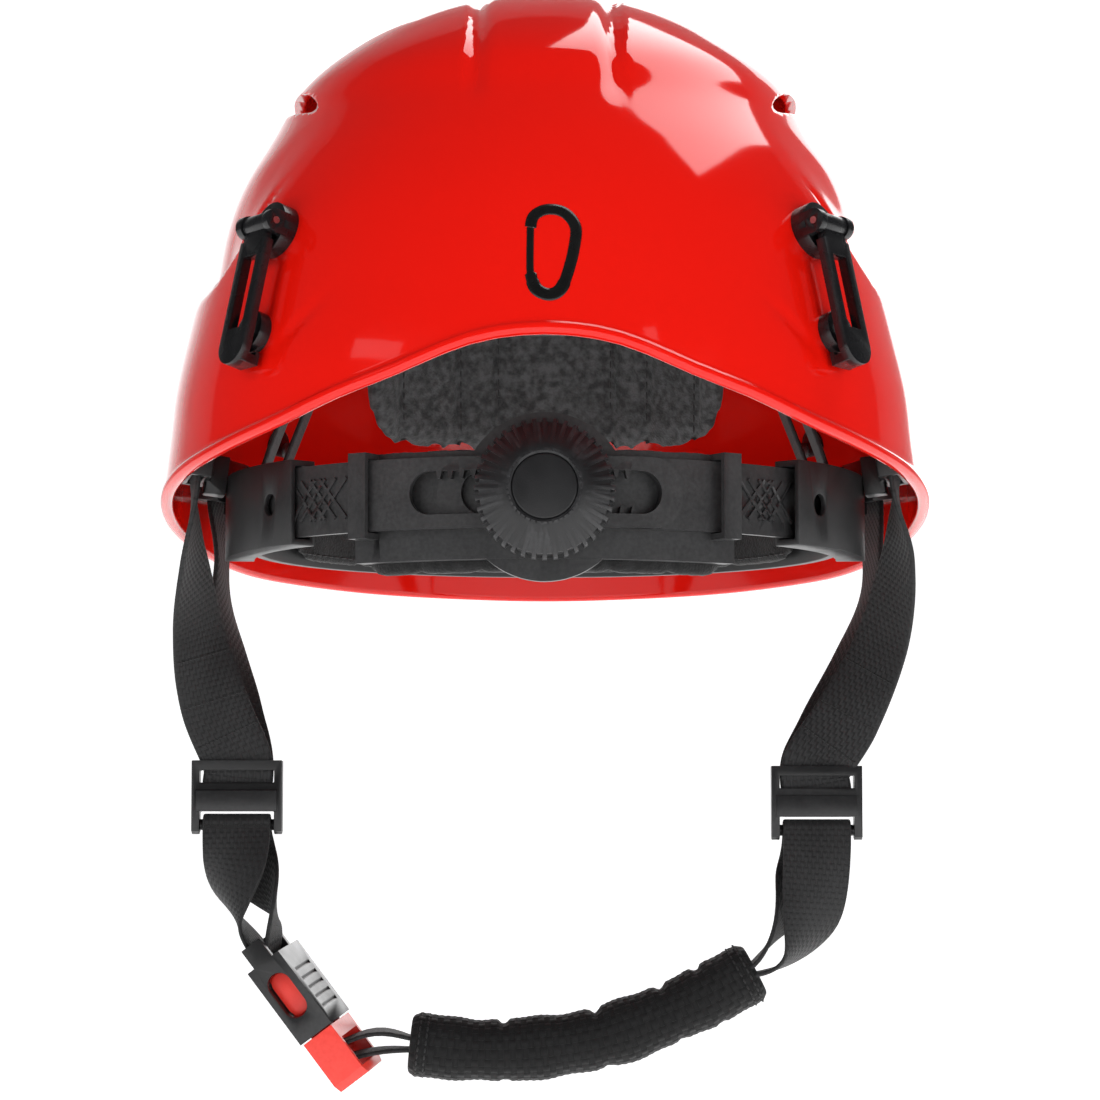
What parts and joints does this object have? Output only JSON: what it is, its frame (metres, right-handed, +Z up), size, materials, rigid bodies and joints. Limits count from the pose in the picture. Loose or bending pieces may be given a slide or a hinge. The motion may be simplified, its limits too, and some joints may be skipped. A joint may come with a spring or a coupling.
{
  "type": "climbing helmet",
  "caption": "Hard-shell climbing helmet with lamp clips, dial-adjusted headband, padded crown cradle and a buckled chin strap with padded sleeve.",
  "frame": {"origin": "on the headband ring's upright axis, 4 mm above the dial's axle, where the head sits", "axes": "+Z up towards the crown, +Y towards the wearer's front, +X towards the wearer's right"},
  "size_m": [0.2222, 0.2649, 0.3126],
  "materials": {
    "shell_red": "glossy moulded shell",
    "clip_black": "satin",
    "pin_steel": "plain",
    "band_plastic": "satin",
    "dial_black": "satin",
    "pad_fabric": "knitted",
    "crown_fabric": "mottled brushed knit",
    "webbing_black": "woven",
    "sleeve_fabric": "ribbed",
    "buckle_red": "satin",
    "hardware_black": "satin"
  },
  "bodies": {
    "helmet": {"shell": "shell_red", "clip_mount_rear_left": "clip_black", "clip_mount_rear_right": "clip_black", "clip_mount_front_left": "clip_black", "clip_mount_front_right": "clip_black", "clip_pin_rear_left": "pin_steel", "clip_pin_rear_right": "pin_steel", "clip_pin_front_left": "pin_steel", "clip_pin_front_right": "pin_steel", "front_band": "band_plastic", "brow_pad": "pad_fabric", "side_sleeve_left": "band_plastic", "side_sleeve_right": "band_plastic", "dial_housing": "band_plastic", "dial_axle": "pin_steel", "nape_pad": "pad_fabric", "crown_pad": "crown_fabric", "cradle_front": "webbing_black", "cradle_rear": "webbing_black", "hanger_front_left": "hardware_black", "hanger_front_right": "hardware_black", "hanger_rear_left": "hardware_black", "hanger_rear_right": "hardware_black", "strap_rear_left": "webbing_black", "strap_rear_right": "webbing_black", "strap_front_left": "webbing_black", "strap_front_right": "webbing_black", "divider_left": "hardware_black", "divider_right": "hardware_black"},
    "chin_strap": {"lower_strap_left": "webbing_black", "lower_strap_right": "webbing_black", "buckle_female": "hardware_black", "chin_pad": "sleeve_fabric", "chin_strands": "webbing_black"},
    "buckle_insert": {"buckle_male": "buckle_red"},
    "dial": {"dial_pinion": "dial_black", "dial_knob": "dial_black", "dial_cap": "dial_black"},
    "rack_left": {"rack_strip_left": "band_plastic"},
    "rack_right": {"rack_strip_right": "band_plastic"},
    "clip_rear_left": {"clip_arm_rear_left": "clip_black"},
    "clip_rear_right": {"clip_arm_rear_right": "clip_black"},
    "clip_front_left": {"clip_arm_front_left": "clip_black"},
    "clip_front_right": {"clip_arm_front_right": "clip_black"}
  },
  "joints": [
    {"name": "clip_rear_left_hinge", "type": "hinge", "parent": "helmet", "child": "clip_rear_left", "pos_m": [-0.07663, -0.08102, 0.07004], "axis": [-0.6294, 0.7758, -0.0442], "range_deg": [0, 60]},
    {"name": "clip_rear_right_hinge", "type": "hinge", "parent": "helmet", "child": "clip_rear_right", "pos_m": [0.07663, -0.08102, 0.07004], "axis": [-0.6294, -0.7758, 0.0442], "range_deg": [0, 60]},
    {"name": "clip_front_left_hinge", "type": "hinge", "parent": "helmet", "child": "clip_front_left", "pos_m": [-0.08635, 0.08285, 0.05899], "axis": [0.529, 0.8473, 0.0473], "range_deg": [0, 60]},
    {"name": "clip_front_right_hinge", "type": "hinge", "parent": "helmet", "child": "clip_front_right", "pos_m": [0.08635, 0.08285, 0.05899], "axis": [0.529, -0.8473, -0.0473], "range_deg": [0, 60]},
    {"name": "dial_turn", "type": "hinge", "parent": "helmet", "child": "dial", "pos_m": [0, -0.1, -0.004], "axis": [0, 1, 0], "range_deg": [-100, 100]},
    {"name": "rack_left_travel", "type": "hinge", "parent": "helmet", "child": "rack_left", "pos_m": [0, -0.01, -0.004], "axis": [0, 0, 1], "range_deg": [-6, 6]},
    {"name": "rack_right_travel", "type": "hinge", "parent": "helmet", "child": "rack_right", "pos_m": [0, -0.01, -0.004], "axis": [0, 0, 1], "range_deg": [-6, 6]},
    {"name": "chin_strap_swing", "type": "hinge", "parent": "helmet", "child": "chin_strap", "pos_m": [-0.00525, 0, -0.091], "axis": [1, 0, -0.0096], "range_deg": [-18, 18]},
    {"name": "buckle_release", "type": "slide", "parent": "chin_strap", "child": "buckle_insert", "axis": [0.6018, 0, -0.7986], "range_m": [0, 0.02], "deforming": ["chin_strands"]}
  ],
  "couplings": [
    {"joint": "rack_left_travel", "follows": "dial_turn", "ratio": 0.051195},
    {"joint": "rack_right_travel", "follows": "dial_turn", "ratio": -0.052448}
  ]
}
